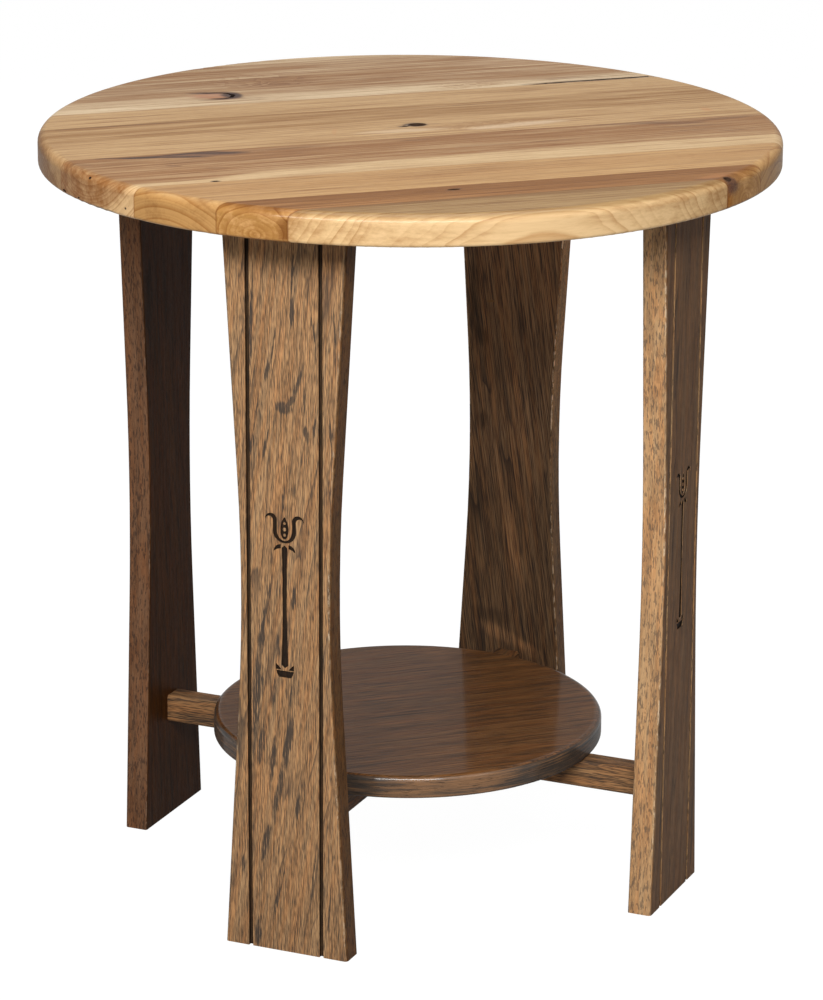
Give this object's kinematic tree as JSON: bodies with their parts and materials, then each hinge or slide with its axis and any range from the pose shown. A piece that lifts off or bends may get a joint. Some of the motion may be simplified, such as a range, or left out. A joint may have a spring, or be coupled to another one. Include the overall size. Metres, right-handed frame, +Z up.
{
  "type": "round side table",
  "caption": "Round natural hickory side table on flat waisted legs with carved tulips, half-lapped cross rails and a round lower shelf.",
  "frame": {"origin": "on the floor under the centre of the round top", "axes": "+Z up; two legs stand on the X axis and two on the Y axis, the cross rails run along X and Y"},
  "size_m": [0.6096, 0.6096, 0.635],
  "materials": {
    "natural_hickory": "satin clear lacquer over natural hickory, pale sapwood and tan heartwood",
    "stained_hickory": "dark brown stain and satin lacquer, open grey-black grain",
    "steel": "zinc-plated wood screws"
  },
  "bodies": {
    "root": {"top_board_1": "natural_hickory", "top_board_2": "natural_hickory", "top_board_3": "natural_hickory", "top_board_4": "natural_hickory", "top_board_5": "natural_hickory", "top_board_6": "natural_hickory", "shelf_board_1": "stained_hickory", "shelf_board_2": "stained_hickory", "shelf_board_3": "stained_hickory", "leg_front": "stained_hickory", "leg_right": "stained_hickory", "leg_back": "stained_hickory", "leg_left": "stained_hickory", "lower_rail_x": "stained_hickory", "lower_rail_y": "stained_hickory", "upper_rail_x": "stained_hickory", "upper_rail_y": "stained_hickory", "shelf_screws": "steel", "top_screws": "steel"}
  },
  "joints": []
}
